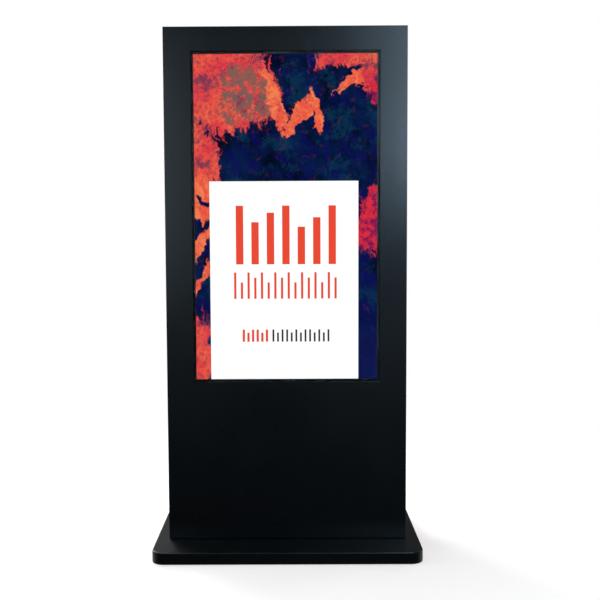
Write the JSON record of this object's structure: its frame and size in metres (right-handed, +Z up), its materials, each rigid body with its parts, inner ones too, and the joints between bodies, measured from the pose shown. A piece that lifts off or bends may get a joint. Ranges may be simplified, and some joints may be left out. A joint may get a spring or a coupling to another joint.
{
  "type": "touchscreen kiosk",
  "caption": "Free-standing touchscreen kiosk: a tall black sheet-steel cabinet with a portrait display behind glass, on a wide weighted plinth, with a service door at the rear.",
  "frame": {"origin": "centre of the plinth's footprint, on the floor under the levelling feet", "axes": "+Z up; -Y out of the screen, towards the visitor; +X to the right of a person who faces the screen"},
  "size_m": [1, 0.58, 1.968],
  "materials": {
    "cabinet_coat": "satin black powder coat on sheet steel",
    "plinth_coat": "satin black powder coat",
    "plain_steel": "oiled hot-rolled plate",
    "zinc_plate": "zinc-plated sheet",
    "bright_nickel": "bright nickel plate",
    "rubber": "closed-cell foam tape",
    "foot_rubber": "hard rubber pad moulded on a steel stud",
    "clear_glass": "toughened clear glass with a touch film on its back",
    "screen": "lit display",
    "black_plastic": "fine moulded texture",
    "cable_sheath": "matt cable sheath"
  },
  "bodies": {
    "cabinet": {"ballast_plate": "plain_steel", "cabinet_floor": "cabinet_coat", "display_power_lead": "cable_sheath", "display_rail_left": "zinc_plate", "display_rail_right": "zinc_plate", "equipment_plate": "zinc_plate", "fan_left_frame": "black_plastic", "fan_right_frame": "black_plastic", "front_panel": "cabinet_coat", "glass_clamp_bottom": "zinc_plate", "glass_clamp_left": "zinc_plate", "glass_clamp_right": "zinc_plate", "glass_clamp_top": "zinc_plate", "glass_gasket": "rubber", "hinge_lower_frame_leaf": "cabinet_coat", "hinge_lower_pin": "bright_nickel", "hinge_middle_frame_leaf": "cabinet_coat", "hinge_middle_pin": "bright_nickel", "hinge_upper_frame_leaf": "cabinet_coat", "hinge_upper_pin": "bright_nickel", "lcd_panel": "screen", "lcd_rear_cover": "zinc_plate", "mains_feed_lead": "cable_sheath", "media_player": "black_plastic", "player_power_lead": "cable_sheath", "plinth_bolt_front_left": "zinc_plate", "plinth_bolt_front_right": "zinc_plate", "plinth_bolt_rear_left": "zinc_plate", "plinth_bolt_rear_right": "zinc_plate", "plinth_cover": "plinth_coat", "power_inlet": "black_plastic", "power_strip": "black_plastic", "rear_lower_panel": "cabinet_coat", "rear_upper_panel": "cabinet_coat", "side_panel_left": "cabinet_coat", "side_panel_right": "cabinet_coat", "support_bar_lower": "zinc_plate", "support_bar_upper": "zinc_plate", "top_panel": "cabinet_coat", "touch_glass": "clear_glass", "video_lead": "cable_sheath"},
    "door": {"rear_door": "cabinet_coat", "door_stiffener": "cabinet_coat", "hinge_lower_door_leaf": "cabinet_coat", "hinge_middle_door_leaf": "cabinet_coat", "hinge_upper_door_leaf": "cabinet_coat", "lock_lower_housing": "bright_nickel", "lock_upper_housing": "bright_nickel"},
    "lower_lock": {"lock_lower_plug": "bright_nickel", "lock_lower_cam": "zinc_plate"},
    "upper_lock": {"lock_upper_plug": "bright_nickel", "lock_upper_cam": "zinc_plate"},
    "power_switch": {"rocker_switch": "black_plastic"},
    "player_button": {"player_power_button": "bright_nickel"},
    "left_fan": {"fan_left_rotor": "black_plastic"},
    "right_fan": {"fan_right_rotor": "black_plastic"},
    "foot_front_left": {"levelling_foot_front_left": "foot_rubber"},
    "foot_front_right": {"levelling_foot_front_right": "foot_rubber"},
    "foot_rear_left": {"levelling_foot_rear_left": "foot_rubber"},
    "foot_rear_right": {"levelling_foot_rear_right": "foot_rubber"}
  },
  "joints": [
    {"name": "rear_door_hinge", "type": "hinge", "parent": "cabinet", "child": "door", "pos_m": [-0.42375, 0.1405, 0.975], "axis": [0, 0, 1], "range_deg": [0, 110]},
    {"name": "lower_lock_turn", "type": "hinge", "parent": "door", "child": "lower_lock", "pos_m": [0.385, 0.135, 0.55], "axis": [0, -1, 0], "range_deg": [0, 90]},
    {"name": "upper_lock_turn", "type": "hinge", "parent": "door", "child": "upper_lock", "pos_m": [0.385, 0.135, 1.45], "axis": [0, -1, 0], "range_deg": [0, 90]},
    {"name": "power_switch_rock", "type": "hinge", "parent": "cabinet", "child": "power_switch", "pos_m": [0.3165, 0.1338, 0.1], "axis": [1, 0, 0], "range_deg": [0, 16]},
    {"name": "player_button_press", "type": "slide", "parent": "cabinet", "child": "player_button", "axis": [0, -1, 0], "range_m": [0, 0.0012], "stiffness_N_per_m": 300},
    {"name": "left_fan_spin", "type": "hinge", "parent": "cabinet", "child": "left_fan", "pos_m": [-0.15, 0.1207, 1.871], "axis": [0, 1, 0], "continuous": true},
    {"name": "right_fan_spin", "type": "hinge", "parent": "cabinet", "child": "right_fan", "pos_m": [0.15, 0.1207, 1.871], "axis": [0, 1, 0], "continuous": true},
    {"name": "foot_front_left_screw", "type": "slide", "parent": "cabinet", "child": "foot_front_left", "axis": [0, 0, -1], "range_m": [0, 0.012]},
    {"name": "foot_front_right_screw", "type": "slide", "parent": "cabinet", "child": "foot_front_right", "axis": [0, 0, -1], "range_m": [0, 0.012]},
    {"name": "foot_rear_left_screw", "type": "slide", "parent": "cabinet", "child": "foot_rear_left", "axis": [0, 0, -1], "range_m": [0, 0.012]},
    {"name": "foot_rear_right_screw", "type": "slide", "parent": "cabinet", "child": "foot_rear_right", "axis": [0, 0, -1], "range_m": [0, 0.012]}
  ]
}
